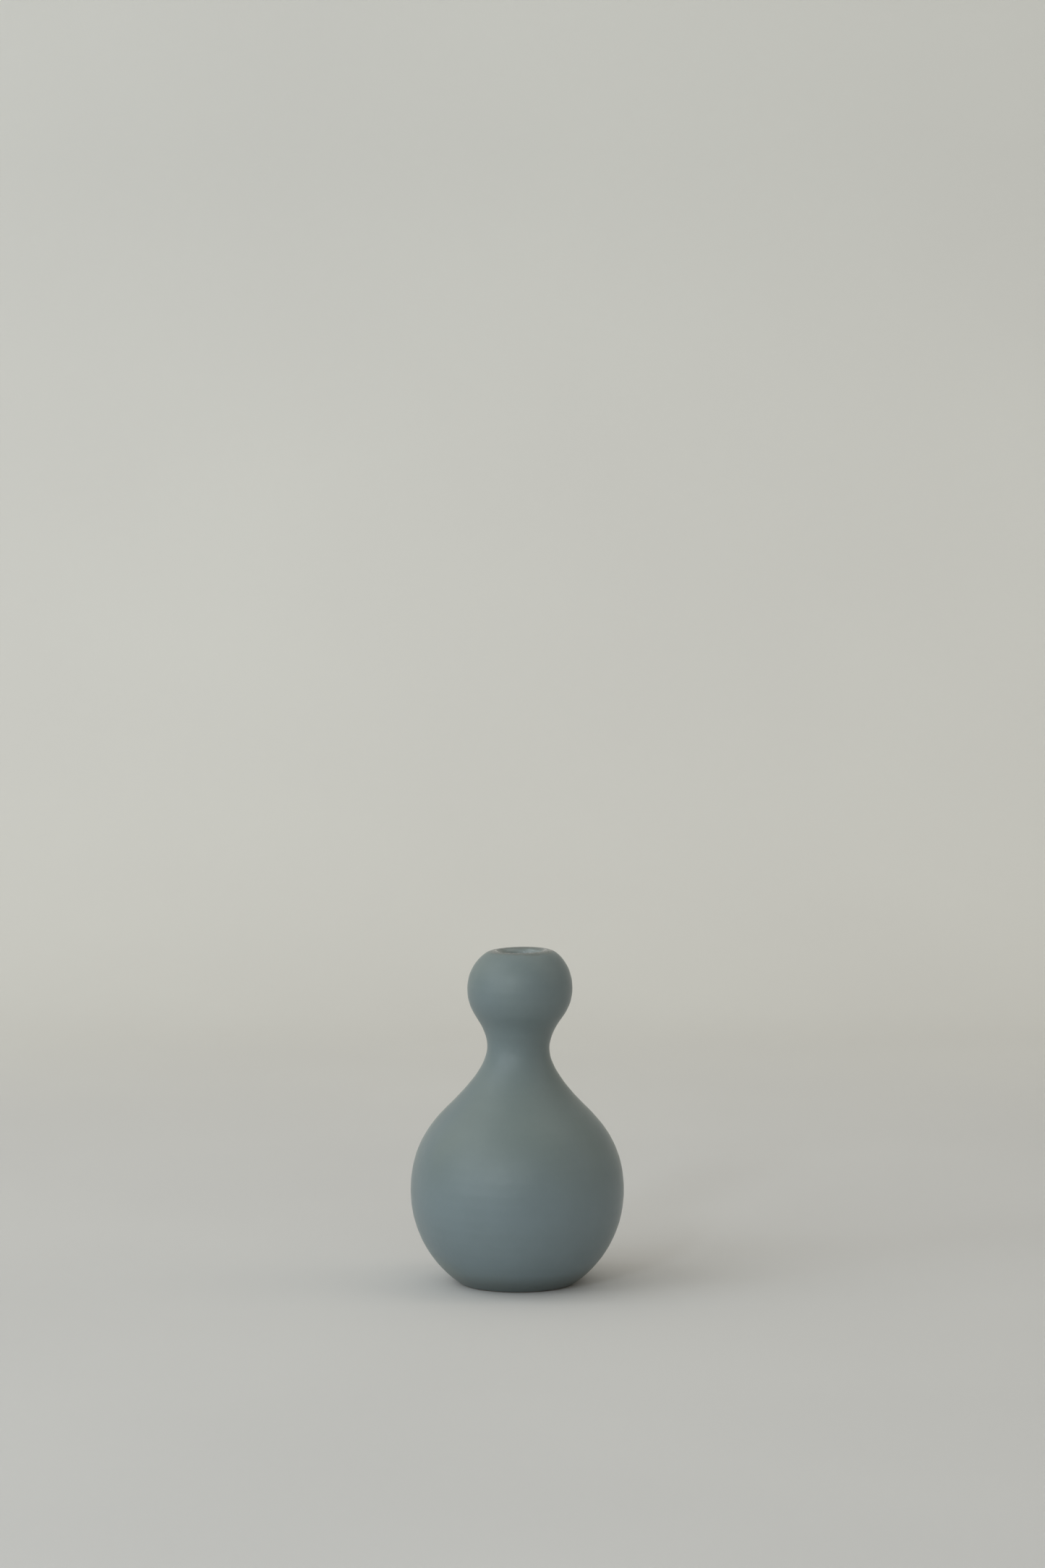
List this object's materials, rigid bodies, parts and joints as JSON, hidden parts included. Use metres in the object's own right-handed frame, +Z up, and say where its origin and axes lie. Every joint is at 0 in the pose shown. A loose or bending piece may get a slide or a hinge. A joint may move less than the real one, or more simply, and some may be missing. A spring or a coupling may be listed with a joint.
{
  "type": "bud vase",
  "caption": "Small ceramic bud vase with a low round belly, a pinched neck and a hollow ball top with a narrow mouth, satin-glazed outside and gloss-glazed inside.",
  "frame": {"origin": "centre of the foot, on the surface the vase stands on", "axes": "+Z up along the vase's axis of revolution; X and Y are free, because the vase is round"},
  "size_m": [0.051, 0.051, 0.08],
  "materials": {
    "fired_clay": "bare fired stoneware, dry and slightly gritty",
    "satin_glaze": "satin-matt blue-grey celadon glaze",
    "gloss_glaze": "clear-gloss blue-grey glaze on the inside and over the inner edge of the lip"
  },
  "bodies": {
    "root": {"clay_body": "fired_clay", "outer_glaze": "satin_glaze", "inner_glaze": "gloss_glaze"}
  },
  "joints": []
}
